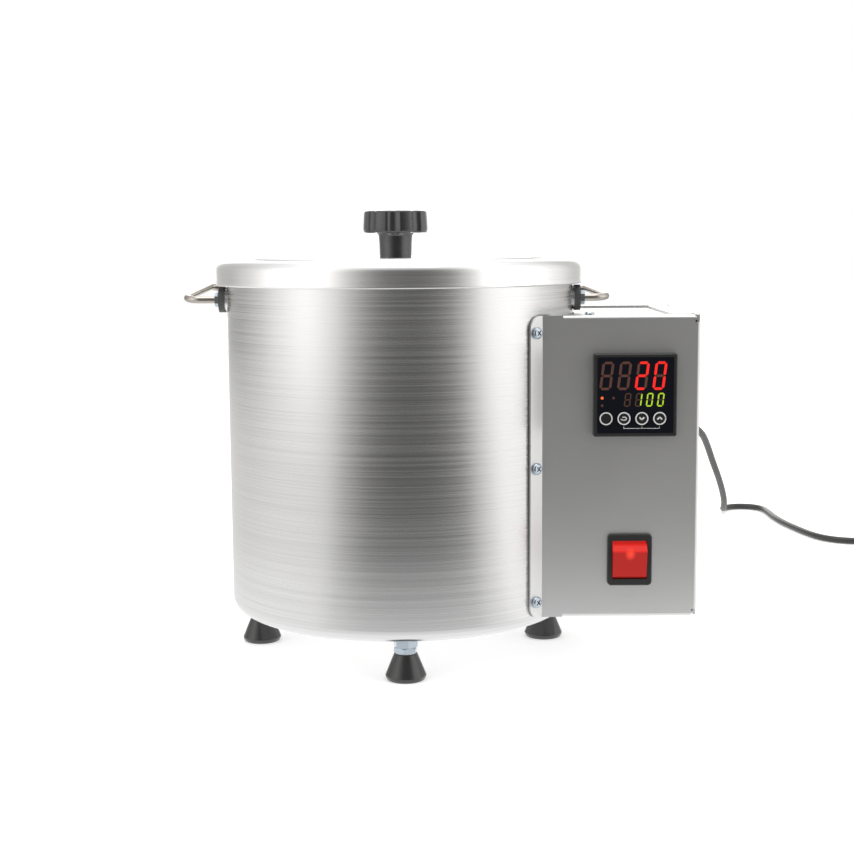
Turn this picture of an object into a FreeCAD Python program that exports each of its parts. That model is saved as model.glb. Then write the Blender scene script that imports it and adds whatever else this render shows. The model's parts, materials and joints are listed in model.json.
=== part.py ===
import FreeCAD, Part
import math
import os

# Wax warmer pot: a spun aluminium jacket with a wax well, a lift-off lid with a star knob, four screwed
# rubber feet, two rod handles and a folded sheet control box with a temperature controller and a mains switch.
# Millimetres. Shapes are drawn with the pot's axis at X = 0, Y = 0 and the resting surface at Z = 0,
# the front (controller side) towards -Y, and are shifted by pot_x on export, so that the row's origin is
# the middle of the object's footprint box.

V = FreeCAD.Vector

# driving dimensions: jacket, well and lid
shell_radius = 107.0
shell_wall = 1.0
shell_bottom = 24.7
shell_corner = 8.0
lid_radius = 113.1
lid_offset = -0.6
lid_edge_z = 226.2
lid_band_z = 241.2
lid_disc_radius = 91.0
lid_disc_rise = 1.3
lid_wall = 1.2
well_radius = 96.0
well_wall = 1.2
well_bottom = 60.0
well_rim_radius = 108.5

# star knob
knob_head_bottom = 257.2
knob_head_top = 270.8
knob_crown_z = 271.8
knob_radius = 20.15
knob_offset = -2.5
knob_lobes = 8
knob_turn = -2.0

# feet
foot_circle = 90.0
foot_turn = 2.4
foot_height = 15.8
stud_radius = 3.95
nut_flats = 12.6

# handles
handle_corners = (-133.7, 129.4)
handle_taper = 11.3
handle_rod = 2.25
handle_z = 217.3
handle_near_y = -13.0
handle_far_y = 46.0
handle_far_rises = (7.5, 4.6)
handle_bends = (9.0, 12.0, 5.0)
pad_radius = 7.8
pad_thickness = 3.8

# control box
sheet = 1.5
box_right = 175.2
box_front = -70.6
box_low = 31.3
box_high = 209.0
flange_angle = -48.0
flange_width = 9.6
flange_corner = 7.5
screw_heights = (41.1, 120.4, 199.3)

# controller, square bezel in the front panel
unit_x = 137.1
unit_z = 163.3
unit_size = 48.0
unit_proud = 6.0
key_radius = 4.0
key_gap = 0.3
key_offsets = (-16.9, -6.6, 3.7, 14.0)
key_z = unit_z - 13.4

# rocker switch
switch_x = 135.2
switch_z = 65.8
switch_hinge_y = box_front + 5.1
rocker_tilt = 11.0

# mains cord
cord_radius = 2.75
gland_x = 150.0
gland_z = 123.0
boot_end = 112.0
coil_centre = (397.0, 247.0)
coil_radii = (34.0, 28.5, 23.0)
coil_layers = 2

pot_x = -20.1
rest_gap = 0.05
shell_top = lid_band_z - lid_wall - rest_gap - well_wall
shell_inner = shell_radius - shell_wall
nodes = {}


# ---- shape helpers ----

def box(x0, x1, y0, y1, z0, z1):
    return Part.makeBox(x1 - x0, y1 - y0, z1 - z0, V(x0, y0, z0))


def rod(start, end, radius):
    start = V(*start)
    along = V(*end) - start
    return Part.makeCylinder(radius, along.Length, start, along)


def disc(radius, z0, z1, x=0.0, y=0.0):
    return rod((x, y, z0), (x, y, z1), radius)


def ring(outer, inner, z0, z1, x=0.0, y=0.0):
    return disc(outer, z0, z1, x, y).cut(disc(inner, z0 - 1, z1 + 1, x, y))


def outline(corners, place):
    """A closed wire through corners (a, b) or (a, b, radius); place turns (a, b) into a point in space."""
    count = len(corners)
    spans = []
    for i in range(count):
        here = V(corners[i][0], corners[i][1], 0)
        radius = corners[i][2] if len(corners[i]) > 2 else 0
        if radius == 0:
            spans.append((here, None, here))
            continue
        back = (V(corners[i - 1][0], corners[i - 1][1], 0) - here).normalize()
        following = corners[(i + 1) % count]
        ahead = (V(following[0], following[1], 0) - here).normalize()
        half = back.getAngle(ahead) / 2
        reach = radius / math.tan(half)
        inward = (back + ahead).normalize()
        middle = here + inward * (radius / math.sin(half) - radius)
        spans.append((here + back * reach, middle, here + ahead * reach))
    edges = []
    for i in range(count):
        start, middle, end = spans[i]
        if middle is not None:
            edges.append(Part.Arc(place(start), place(middle), place(end)).toShape())
        onward = spans[(i + 1) % count][0]
        if end.distanceToPoint(onward) > 1e-6:
            edges.append(Part.LineSegment(place(end), place(onward)).toShape())
    return Part.Wire(edges)


def turned(corners, x=0.0, y=0.0):
    """A profile of (radius, z) corners turned round a vertical axis."""
    face = Part.Face(outline(corners, lambda p: V(p.x, 0, p.y)))
    shape = face.revolve(V(0, 0, 0), V(0, 0, 1), 360)
    shape.translate(V(x, y, 0))
    return shape


def extruded(corners, axis, start, end):
    """Corners extruded along an axis: (x, y) along z, (x, z) along y, (y, z) along x."""
    places = {
        "x": (lambda p: V(start, p.x, p.y), V(end - start, 0, 0)),
        "y": (lambda p: V(p.x, start, p.y), V(0, end - start, 0)),
        "z": (lambda p: V(p.x, p.y, start), V(0, 0, end - start)),
    }
    place, sweep = places[axis]
    return Part.Face(outline(corners, place)).extrude(sweep)


def slab(x, z, width, height, y0, y1, corner):
    """A plate facing along Y, centred at x and z, with rounded corners."""
    w, h = width / 2, height / 2
    corners = [(x - w, z - h, corner), (x + w, z - h, corner), (x + w, z + h, corner), (x - w, z + h, corner)]
    return extruded(corners, "y", y0, y1)


def placed(shape, position, direction):
    """A shape drawn along +Z from the origin, moved to position and turned to face direction."""
    shape.Placement = FreeCAD.Placement(V(*position), FreeCAD.Rotation(V(0, 0, 1), V(*direction)))
    return shape


def mirrored_y(shape):
    return shape.mirror(V(0, 0, 0), V(0, 1, 0))


def fused(shapes):
    return shapes[0].multiFuse(shapes[1:]).removeSplitter()


def polar(radius, degrees):
    return radius * math.cos(math.radians(degrees)), radius * math.sin(math.radians(degrees))


def nut(flats, height, bore, turn=0.0):
    """A hexagon nut along +Z with chamfered corners."""
    corner = flats / math.sqrt(3)
    points = [polar(corner, turn + 60 * k) for k in range(6)]
    body = extruded(points, "z", 0, height)
    slope = corner - flats / 2 + 0.1
    edge = slope * 0.5
    chamfer = turned([(0, 0), (flats / 2, 0), (corner + 0.1, edge), (corner + 0.1, height - edge),
                      (flats / 2, height), (0, height)])
    return body.common(chamfer).cut(disc(bore, -1, height + 1))


def pan_screw(head_radius, head_height, shank_radius, length, turn=0.0):
    """A cross-recessed pan-head screw: the head stands up from z = 0, the shank goes down."""
    head = turned([(0, 0), (head_radius, 0), (head_radius, head_height, head_radius * 0.42), (0, head_height)])
    slot = box(-head_radius * 0.55, head_radius * 0.55, -0.45, 0.45, head_height * 0.45, head_height + 1)
    cross = slot.copy()
    cross.rotate(V(0, 0, 0), V(0, 0, 1), 90)
    screw = head.cut(slot.fuse(cross)).fuse(disc(shank_radius, -length, 0.2))
    screw.rotate(V(0, 0, 0), V(0, 0, 1), turn)
    return screw


def bent_tube(points, radius, bend=None, report=None):
    """A round rod through points: straight runs joined by tangent arcs. Each arc has the bend radius given for
    all or for each, or is as large as its two runs allow."""
    points = [V(*p) for p in points]
    runs = [(b - a).Length for a, b in zip(points, points[1:])]
    edges = []
    radii = []
    last = points[0]
    for i in range(1, len(points) - 1):
        here = points[i]
        back = (points[i - 1] - here).normalize()
        ahead = (points[i + 1] - here).normalize()
        half_turn = (math.pi - back.getAngle(ahead)) / 2
        arc_radius = 0.45 * min(runs[i - 1], runs[i]) / math.tan(half_turn)
        if bend:
            arc_radius = bend[i - 1] if isinstance(bend, tuple) else bend
        reach = arc_radius * math.tan(half_turn)
        inward = (back + ahead).normalize()
        middle = here + inward * (arc_radius / math.cos(half_turn) - arc_radius)
        start, end = here + back * reach, here + ahead * reach
        edges.append(Part.LineSegment(last, start).toShape())
        edges.append(Part.Arc(start, middle, end).toShape())
        radii.append(arc_radius)
        last = end
    edges.append(Part.LineSegment(last, points[-1]).toShape())
    path = Part.Wire(edges)
    section = Part.Wire([Part.Circle(points[0], points[1] - points[0], radius).toShape()])
    tube = path.makePipeShell([section], True, False)
    if report:
        length = path.Length
        ideal = math.pi * radius * radius * length
        print(report, "length", round(length, 1), "volume share", round(tube.Volume / ideal, 4))
        print(report, "radii", [round(r, 1) for r in radii])
    return tube


def add(name, *shapes):
    solids = [s for shape in shapes for s in shape.Solids]
    nodes[name] = Part.makeCompound(solids)


# ---- jacket, well and heating ----

def foot_places():
    names = ("front", "right", "rear", "left")
    return [(name, polar(foot_circle, -90 + foot_turn + 90 * k)) for k, name in enumerate(names)]


def handle_legs():
    """Side (-1 left, 1 right) and Y of each of the four handle legs."""
    return [(side, y) for side in (-1, 1) for y in (handle_near_y, handle_far_y)]


def flange_frame():
    """The front flange's outward normal, its direction away from the box, and the fold point."""
    nx, ny = polar(1, flange_angle)
    reach = shell_radius + 0.1 + sheet
    fold = V((reach - ny * box_front) / nx, box_front, 0)
    return V(nx, ny, 0), V(ny, -nx, 0), fold


def flange_screw_places():
    normal, away, fold = flange_frame()
    spot = fold + away * (flange_width * 0.52)
    return [(V(spot.x, spot.y, z), normal) for z in screw_heights]


def outer_shell():
    r, w = shell_radius, shell_wall
    shell = turned([(0, shell_bottom), (r, shell_bottom, shell_corner), (r, shell_top), (r - w, shell_top),
                    (r - w, shell_bottom + w, shell_corner - w), (0, shell_bottom + w)])
    holes = [disc(4.15, shell_bottom - 1, shell_bottom + 3, *spot) for _, spot in foot_places()]
    for side, y in handle_legs():
        holes.append(rod((side * 80, y, handle_z), (side * 120, y, handle_z), handle_rod + 0.2))
    for spot, normal in flange_screw_places():
        hole = rod(spot - normal * 8, spot + normal, 2.0)
        holes += [hole, mirrored_y(hole)]
    holes.append(rod((90, 0, 66), (120, 0, 66), 7.0))
    add("outer_shell", shell.cut(Part.makeCompound(holes)))


def inner_pot():
    r, w, b, rim = well_radius, well_wall, well_bottom, well_rim_radius
    top = shell_top + w
    pot = turned([(0, b), (r, b, 12), (r, shell_top), (rim - w, shell_top), (rim - w, shell_top - 5),
                  (rim, shell_top - 5), (rim, top, 2.0), (r - w, top, 2.0), (r - w, b + w, 10.8), (0, b + w)])
    add("inner_pot", pot)


def insulation():
    slot = box(85, 110, -15, 15, 60, 210)
    add("wall_insulation", ring(102.2, 98.8, 68, 200).cut(slot))
    pockets = [disc(10, 39, 60, -30, 0), box(12, 58, -7, 7, 50, 60), box(56, 80, -2, 2, 48, 60)]
    add("base_insulation", disc(76, 36.5, 57).cut(Part.makeCompound(pockets)))


def heater():
    gap = box(85, 110, -4, 4, 70, 200)
    band = ring(98.3, well_radius + 0.05, 80, 190).cut(gap)
    lugs = [box(97.6, 104.2, y, y + 1.2, 146, 184) for y in (-5.2, 4.0)]
    bolts = [rod((101.5, -12, z), (101.5, 12, z), 1.6) for z in (153, 177)]
    add("band_heater", fused([band] + lugs).cut(Part.makeCompound(bolts)))
    parts = []
    for z in (153, 177):
        parts.append(rod((101.5, -5.2, z), (101.5, 8.4, z), 1.5))
        parts.append(placed(pan_screw(2.6, 2.0, 1.5, 3), (101.5, -5.2, z), (0, -1, 0)))
        parts.append(placed(nut(5.5, 2.4, 1.55), (101.5, 5.25, z), (0, 1, 0)))
    add("heater_clamp_screws", parts[0].fuse(parts[1]), parts[2], parts[3].fuse(parts[4]), parts[5])


def sensors():
    cap = disc(8, 56, well_bottom, -30, 0)
    body = disc(6.6, 48, 56, -30, 0)
    blades = [box(-30 + s - 0.4, -30 + s + 0.4, -3, 3, 40, 48) for s in (-4, 4)]
    add("thermal_cutout", fused([cap, body] + blades))
    add("sensor_probe", rod((20, 0, well_bottom - 2.55), (50, 0, well_bottom - 2.55), 2.5))
    strap = rod((32, 0, well_bottom - 2.55), (39, 0, well_bottom - 2.55), 3.4)
    strap = strap.fuse(box(32, 39, -6.5, 6.5, well_bottom - 0.9, well_bottom - 0.05))
    hollow = rod((31, 0, well_bottom - 2.55), (40, 0, well_bottom - 2.55), 2.55)
    throat = box(31, 40, -2.55, 2.55, well_bottom - 2.55, well_bottom + 2)
    add("sensor_clip", strap.cut(hollow).cut(throat).common(box(30, 41, -7, 7, 50, well_bottom - 0.05)))


def grommet_and_leads():
    sleeve = rod((103, 0, 66), (111.5, 0, 66), 9.0).cut(rod((100, 0, 66), (113, 0, 66), 4.6))
    jacket = ring(shell_radius + 0.02, shell_inner - 0.02, 50, 80)
    hole = rod((100, 0, 66), (113, 0, 66), 6.98)
    add("shell_grommet", sleeve.cut(jacket.cut(hole)))
    leads = []
    for y in (-2.2, 2.2):
        leads.append(bent_tube([(101.6, y * 4.6, 147), (101.6, y * 4.6, 130), (101.6, y, 105), (101.6, y, 66),
                                (118, y, 66), (124, y * 2, 90), (124, y * 4, 128)], 1.1, bend=4.5))
    probe_lead = bent_tube([(50, 0, well_bottom - 2.55), (66, 0, 50), (84, 0, 50), (96, 0, 66), (116, 0, 66),
                            (128, 0, 80), (130, 0, 130)], 0.8, bend=5)
    add("pot_leads", *leads, probe_lead)


# ---- feet ----

def feet():
    lower, upper, washers, studs, inner = [], [], [], [], []
    for k, (name, (x, y)) in enumerate(foot_places()):
        foot = turned([(0, 0), (11.3, 0, 1.2), (12.2, 2.6, 1.5), (6.7, foot_height, 0.8), (4.1, foot_height),
                       (4.1, 4), (0, 4)], x, y)
        add("foot_" + name, foot)
        washers.append(ring(6.2, 4.05, foot_height, foot_height + 0.6, x, y))
        low = foot_height + 0.6
        turn = -100 + 90 * k + foot_turn
        lower.append(placed(nut(nut_flats, 3.0, 4.0, turn), (x, y, low), (0, 0, 1)))
        upper_height = shell_bottom - low - 3.0
        upper.append(placed(nut(nut_flats, upper_height, 4.0, turn + 22), (x, y, low + 3.0), (0, 0, 1)))
        studs.append(disc(stud_radius, 4.0, 35, x, y))
        inner.append(placed(nut(nut_flats, 5.0, 4.0, turn), (x, y, shell_bottom + shell_wall), (0, 0, 1)))
    add("foot_washers", *washers)
    add("foot_nuts", *lower, *upper, *inner)
    add("foot_studs", *studs)


# ---- handles ----

def pad_face(y):
    """Distance from the pot's mid-plane to a handle pad's flat outer face."""
    return math.sqrt(shell_radius ** 2 - (abs(y) - pad_radius) ** 2) + pad_thickness


def handles():
    pads, saddles, outer, inner = [], [], [], []
    bore = handle_rod + 0.05
    for side, y in handle_legs():
        face = pad_face(y)
        hole = rod((0, y, handle_z), (side * 140, y, handle_z), bore)
        back = (side * (face - pad_thickness), y, handle_z)
        pads.append(rod(back, (side * face, y, handle_z), pad_radius).cut(hole))
        saddle = rod((side * 80, y, handle_z), back, pad_radius - 0.8)
        saddles.append(saddle.cut(disc(shell_radius, 200, 240)).cut(hole))
        outer.append(placed(nut(7.6, 2.8, bore), (side * face, y, handle_z), (side, 0, 0)))
        seat = math.sqrt(shell_inner ** 2 - (abs(y) + 4.2) ** 2)
        inner.append(placed(nut(7.6, 2.8, bore), (side * seat, y, handle_z), (-side, 0, 0)))
    for name, corner, rise in zip(("left", "right"), handle_corners, handle_far_rises):
        side = math.copysign(1, corner)
        near_end = math.sqrt(shell_inner ** 2 - handle_near_y ** 2) - 5
        far_end = math.sqrt(shell_inner ** 2 - (handle_far_y + 4.2) ** 2) - 3.5
        far_corner = corner - side * handle_taper
        far_level = pad_face(handle_far_y) + 5
        path = [(side * near_end, handle_near_y, handle_z), (corner, handle_near_y, handle_z),
                (far_corner, handle_far_y, handle_z + rise),
                (side * far_level, handle_far_y, handle_z), (side * far_end, handle_far_y, handle_z)]
        add("handle_rod_" + name, bent_tube(path, handle_rod, bend=handle_bends))
    add("handle_pads", *pads)
    add("handle_saddles", *saddles)
    add("handle_nuts", *outer, *inner)


# ---- lid ----

def lid():
    r, w, top = lid_radius, lid_wall, lid_band_z
    disc_top = top + lid_disc_rise
    edge, disc_edge = lid_edge_z, lid_disc_radius
    outside = [(0, disc_top), (disc_edge, disc_top, 1.0), (disc_edge + 1.3, top, 1.0), (r, top, 6), (r, edge, 1.0)]
    curled_edge = [(r - 2.2, edge, 0.8), (r - 2.2, edge + 4), (r - w, edge + 5)]
    inside = [(r - w, top - w, 3.8), (disc_edge + 0.5, top - w), (disc_edge - 1, disc_top - w), (0, disc_top - w)]
    body = turned(outside + curled_edge + inside)
    body.translate(V(lid_offset, 0, 0))
    add("lid", body.cut(disc(2.7, 230, 250, knob_offset)))
    under = disc_top - w
    add("lid_knob_washer", ring(7, 2.65, under - 1, under, knob_offset))
    screw = placed(pan_screw(4.6, 3.0, 2.5, 14), (knob_offset, 0, under - 1), (0, 0, -1))
    add("lid_knob_screw", screw)


def lid_knob():
    base = lid_band_z + lid_disc_rise
    neck = turned([(0, base), (9.9, base), (10.1, base + 8), (10.5, 254.5), (12.8, knob_head_bottom + 0.2),
                   (0, knob_head_bottom + 0.2)])
    r = knob_radius
    head = turned([(0, knob_head_bottom), (r - 1, knob_head_bottom, 1), (r, knob_head_bottom + 2.5, 4),
                   (r - 0.8, knob_head_top, 1.6), (8, knob_crown_z, 20), (0, knob_crown_z)])
    flutes = []
    for k in range(knob_lobes):
        x, y = polar(r + 2.9, -90 + knob_turn + k * 360 / knob_lobes)
        flutes.append(disc(5.1, base, knob_crown_z + 1, x, y))
    head = head.cut(Part.makeCompound(flutes))
    knob = fused([neck, head]).cut(disc(2.55, base - 1, base + 14))
    knob.translate(V(knob_offset, 0, 0))
    add("lid_knob", knob)


# ---- control box ----

def panel_half():
    """The front half of the wrap: flange, front panel and half of the right side, with the returned lips."""
    normal, away, fold = flange_frame()
    end = fold + away * flange_width
    depth = normal * -sheet
    t = sheet
    bend = math.radians(90 + flange_angle)
    mitre = t * math.tan(bend / 2)
    section = [(end.x, end.y), (fold.x, box_front, 0.5), (box_right, box_front, 2.0), (box_right, 0),
               (box_right - t, 0), (box_right - t, box_front + t, 0.5), (fold.x - mitre, box_front + t, 2.0),
               (end.x + depth.x, end.y + depth.y)]
    half = extruded(section, "z", box_low, box_high)
    # rounded outer corners of the flange
    for z, way in ((box_low, 1), (box_high, -1)):
        centre = end - away * flange_corner + V(0, 0, z + way * flange_corner)
        round_end = Part.makeCylinder(flange_corner, 8, centre - normal * 4, normal)
        square = Part.makeBox(flange_corner + 1, flange_corner + 1, 8)
        square.translate(V(0, 0 if way < 0 else -flange_corner - 1, -4))
        facing = FreeCAD.Rotation(away, V(0, 0, 1), -normal, "ZXY")
        square.Placement = FreeCAD.Placement(centre, facing).multiply(square.Placement)
        half = half.cut(square.cut(round_end))
    return half


def lip(axis, edge, way, start, end, z_edge, z_way):
    """A sheet edge bent inwards: an L section along an axis; way points into the box, z_way up or down."""
    depth = 14.0
    z_root = z_edge - z_way * 8
    tip, inner, z_inner = edge + way * depth, edge + way * sheet, z_edge - z_way * sheet
    section = [(edge, z_root), (edge, z_edge, 2.0), (tip, z_edge), (tip, z_inner), (inner, z_inner, 0.5),
               (inner, z_root)]
    return extruded(section, axis, start, end)


def control_box_wrap():
    fold = flange_frame()[2]
    lip_x0, lip_x1 = fold.x + 12, box_right - 3.2
    half = panel_half()
    pieces = []
    for z_edge, z_way in ((box_high, 1), (box_low, -1)):
        z0, z1 = sorted((z_edge - z_way * 8, z_edge + z_way))
        half = half.cut(box(lip_x0, lip_x1, box_front - 1, box_front + 2, z0, z1))
        half = half.cut(box(box_right - 2, box_right + 1, -52, 1, z0, z1))
        pieces.append(lip("x", box_front, 1, lip_x0, lip_x1, z_edge, z_way))
        pieces.append(lip("y", box_right, -1, -52, 0, z_edge, z_way))
        z0, z1 = sorted((z_edge - z_way * 4.2, z_edge + z_way))
        half = half.cut(box(lip_x1 - 0.01, box_right + 1, box_front - 1, box_front + 4.5, z0, z1))
    half = fused([half] + pieces)
    holes = [rod(spot - normal * 8, spot + normal * 3, 2.0) for spot, normal in flange_screw_places()]
    holes += [rod((x, y, 20), (x, y, 220), 1.6) for x, y in cover_screw_places() if y <= 0]
    half = half.cut(Part.makeCompound(holes))
    wrap = fused([half, mirrored_y(half)])
    s = unit_size - 2.8
    cuts = [slab(unit_x, unit_z, s, s, box_front - 1, box_front + 3, 0.5),
            slab(switch_x, switch_z, 21.8, 26.8, box_front - 1, box_front + 3, 1.0),
            rod((gland_x, 60, gland_z), (gland_x, 80, gland_z), 8.1),
            rod((112, 60, 45), (112, 80, 45), 2.1)]
    add("control_box_wrap", wrap.cut(Part.makeCompound(cuts)))


def cover_screw_places():
    return [(112, box_front + 10.5), (112, -box_front - 10.5)]


def box_covers():
    reach = box_right - sheet - 0.1
    side = -box_front - sheet - 0.1
    plate = extruded([(70, -side), (reach, -side), (reach, side), (70, side)], "z", 0, sheet)
    plate = plate.cut(disc(shell_radius + 1.0, -1, sheet + 1))
    holes = [disc(1.6, -1, sheet + 1, x, y) for x, y in cover_screw_places()]
    plate = plate.cut(Part.makeCompound(holes))
    fold = flange_frame()[2]
    plate = plate.common(box(fold.x + 3, 180, -90, 90, -1, 5))
    top, bottom = plate.copy(), plate.copy()
    top.translate(V(0, 0, box_high - 2 * sheet))
    bottom.translate(V(0, 0, box_low + sheet))
    add("control_box_top", top)
    add("control_box_bottom", bottom)
    screws = []
    for x, y in cover_screw_places():
        screws.append(placed(pan_screw(2.9, 1.6, 1.5, 8, 30), (x, y, box_high), (0, 0, 1)))
        screws.append(placed(pan_screw(2.9, 1.6, 1.5, 8, 30), (x, y, box_low), (0, 0, -1)))
    add("box_cover_screws", *screws)
    screws = []
    for k, (spot, normal) in enumerate(flange_screw_places()):
        screw = placed(pan_screw(3.5, 2.3, 1.95, 6, 15 + 40 * k), tuple(spot), tuple(normal))
        screws += [screw, mirrored_y(screw)]
    add("box_flange_screws", *screws)


# ---- controller ----

def controller():
    x, z, s = unit_x, unit_z, unit_size
    face = box_front - unit_proud
    bezel = slab(x, z, s, s, face, box_front, 1.2)
    shoulder = slab(x, z, s - 4, s - 4, face - 1, face + 1.0, 0.8)
    through = slab(x, z + 6.2, 41, 28, face, box_front + 1, 0.6)
    keyways = [rod((x + dx, face - 1, key_z), (x + dx, box_front + 1, key_z), key_radius + key_gap)
               for dx in key_offsets]
    edges = [e for e in bezel.Edges if abs(e.CenterOfMass.y - face) < 0.01]
    bezel = bezel.makeChamfer(0.6, edges)
    board_room = slab(x, key_z, 42.4, 11.6, face + 5.1, box_front + 1, 0.4)
    add("controller_bezel", bezel.cut(Part.makeCompound([shoulder, through] + keyways)).cut(board_room))
    window = slab(x, z, s - 4.1, s - 4.1, face + 0.1, face + 1.0, 0.7)
    add("controller_window", window.cut(Part.makeCompound(keyways)))
    for k, dx in enumerate(key_offsets):
        cap = turned([(0, -4.6), (key_radius, -4.6), (key_radius, 0.35, 0.3), (2.2, 0.5), (0, 0.5)])
        add("key_%d" % (k + 1), placed(cap, (x + dx, face, key_z), (0, -1, 0)))
    add("display_module", slab(x, z + 6.2, 40.6, 27.6, face + 1.1, box_front + 3, 0.4))
    board = slab(x, key_z, 42, 11.2, face + 5.25, face + 6.6, 0.4)
    domes = [rod((x + dx, face + 5.15, key_z), (x + dx, face + 5.3, key_z), 2.0) for dx in key_offsets]
    add("key_board", fused([board] + domes))
    case = slab(x, z, 44.6, 44.6, box_front, 6, 0.8).cut(slab(x, z, 42.6, 42.6, box_front - 1, 4.5, 0.4))
    add("controller_case", case)
    clamp = slab(x, z, 51, 51, box_front + sheet, box_front + sheet + 8, 1.5)
    add("controller_clamp", clamp.cut(slab(x, z, 44.7, 44.7, box_front, box_front + 12, 0.8)))
    rail = slab(x, z, 40, 24, 6, 15, 0.5)
    heads = [rod((x + 4.4 * k - 17.6, 14, z + dz), (x + 4.4 * k - 17.6, 17, z + dz), 1.6)
             for k in range(9) for dz in (-7, 7)]
    add("controller_terminals", rail.cut(Part.makeCompound(heads)))


# ---- rocker switch ----

def rocker_switch():
    x, z = switch_x, switch_z
    bezel = slab(x, z, 26, 30.5, box_front - 2.2, box_front, 2.4)
    edges = [e for e in bezel.Edges if abs(e.CenterOfMass.y - box_front + 2.2) < 0.01]
    bezel = bezel.makeFillet(0.8, edges)
    tub = slab(x, z, 21.4, 26.4, box_front - 0.5, box_front + 20, 1.0)
    hollow = slab(x, z, 20.4, 22.9, box_front - 3, box_front + 18, 0.6)
    sockets = rod((x - 11, switch_hinge_y, z), (x + 11, switch_hinge_y, z), 1.3)
    sockets = sockets.common(box(x - 10.6, x + 10.6, -80, 0, z - 3, z + 3))
    add("switch_frame", fused([bezel, tub]).cut(hollow).cut(sockets))
    blades = [box(x + dx - 3.1, x + dx + 3.1, box_front + 20, box_front + 29, z + dz - 0.4, z + dz + 0.4)
              for dx in (-6, 6) for dz in (-7, 7)]
    add("switch_terminals", *blades)
    section = [(-9.5, -8, 0.8), (-9.5, 8, 0.8), (-6.5, 10.2, 0.6), (0, 11.1, 1.0), (4, 8, 1.0), (6, 0, 2.0),
               (4, -8, 1.0), (0, -11.1, 1.0), (-6.5, -10.2, 0.6)]
    rocker = extruded(section, "x", -9.9, 9.9).fuse(rod((-10.45, 0, 0), (10.45, 0, 0), 1.2))
    rocker.rotate(V(0, 0, 0), V(1, 0, 0), rocker_tilt)
    rocker.translate(V(x, switch_hinge_y, z))
    add("switch_rocker", rocker)


# ---- inside the box, gland and cord ----

def box_inside():
    back = -box_front - sheet
    bracket = box(118, 170, back - 2, back, 142, 204).fuse(box(118, 170, back - 24, back, 140.5, 142))
    add("relay_bracket", bracket.removeSplitter())
    relay = extruded([(122, 142.2, 1), (166, 142.2, 1), (166, 198, 1), (122, 198, 1)], "y", back - 24, back - 2.1)
    pins = [rod((x, back - 23, z), (x, back - 25, z), 3) for x in (132, 156) for z in (150, 190)]
    add("relay", relay.cut(Part.makeCompound(pins)))
    floor = box_low + 2 * sheet
    block = box(116, 170, 12, 32, floor, floor + 16)
    walls = [box(116 + 10.8 * k + 1.6, 116 + 10.8 * k + 9.2, 11, 33, floor + 7, floor + 17) for k in range(5)]
    block = block.cut(Part.makeCompound(walls))
    earth = placed(pan_screw(4.0, 2.6, 2.0, 9), (112, -box_front, 45), (0, 1, 0))
    add("earth_screw", earth, placed(nut(7.0, 3.0, 2.05), (112, back, 45), (0, -1, 0)))
    hot = floor + 9
    runs = [
        ([(gland_x, back - 12, gland_z), (gland_x, back - 22, gland_z - 14), (gland_x, 40, 80),
          (gland_x, 22, hot + 14), (gland_x, 22, hot)], 2.4),
        ([(129, 22, hot), (129, 6, hot + 10), (129, -20, 62), (129, box_front + 30, switch_z + 7)], 1.3),
        ([(140, 22, hot), (140, 4, hot + 14), (141, -20, 70), (141, box_front + 30, switch_z - 7)], 1.3),
        ([(134, 40, 150), (134, 36, 130), (138, 26, 120), (138, 20, 156)], 1.3),
    ]
    add("box_wiring", *[bent_tube(points, radius, bend=5) for points, radius in runs])
    for points, radius in runs[:3]:
        block = block.cut(bent_tube(points, radius + 0.15, bend=5))
    add("terminal_block", block)


def cord_gland():
    wall = -box_front
    x, z = gland_x, gland_z
    hexagon = placed(nut(22, 5, 3.0), (x, wall, z), (0, 1, 0))
    neck = rod((x, wall - sheet - 8, z), (x, wall + 8, z), 8.0).cut(rod((x, 0, z), (x, 200, z), 3.0))
    add("gland_body", fused([hexagon, neck]))
    add("gland_locknut", placed(nut(20, 4, 8.05), (x, wall - sheet, z), (0, -1, 0)))
    cap = turned([(3.0, 8), (8.6, 8), (9.6, 9, 0.5), (9.6, 14, 2), (6.6, 20, 2), (3.0, 20)])
    skirt = placed(nut(19.4, 5, 8.05), (x, wall + 5, z), (0, 1, 0))
    skirt = skirt.cut(rod((x, wall + 9, z), (x, wall + 12, z), 20))
    add("gland_nut", fused([placed(cap, (x, wall, z), (0, 1, 0)), skirt]))
    length = boot_end - wall
    boot = turned([(cord_radius, 20), (6.2, 20), (3.9, length, 0.6), (cord_radius, length)])
    add("strain_relief", placed(boot, (x, wall, z), (0, 1, 0)))


cord_route = [
    (150, 112, 123), (151, 135, 123), (158, 158, 122), (171, 180, 120.5), (188, 202, 117.5), (205.5, 225, 113),
    (223, 247, 106.5), (237.5, 271, 95.5), (246.8, 297, 81), (256, 323, 64), (266, 350, 47), (274.5, 376, 31),
    (281, 398, 17), (284.6, 420, 6), (286.6, 435.6, 3), (297.9, 445.2, 3), (312.6, 444.8, 3), (323.2, 434.6, 3),
    (324.3, 414, 3), (324.2, 391, 3), (326.2, 367, 3), (330.5, 343, 3), (335.5, 319, 3), (343, 297, 3),
    (357.5, 284, 3), (378, 281.5, 3),
]


def power_cord():
    cx, cy = coil_centre
    arrive = (cx, cy + coil_radii[0], cord_radius + 0.25)
    outer = coil_radii[0] + cord_radius
    inner = coil_radii[-1] - cord_radius
    add("cord_coil", ring(outer, inner, 0.25, 0.25 + coil_layers * 2 * cord_radius, cx, cy))
    top = 0.25 + (coil_layers * 2 - 1) * cord_radius
    side = cx + coil_radii[0]
    tail = rod((side, cy - 3, top), (side, cy - 30, top), cord_radius)
    add("power_cord", bent_tube(cord_route + [arrive], cord_radius, report="power_cord"), tail)
    mains_plug(side, cy - 30, top)


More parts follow.
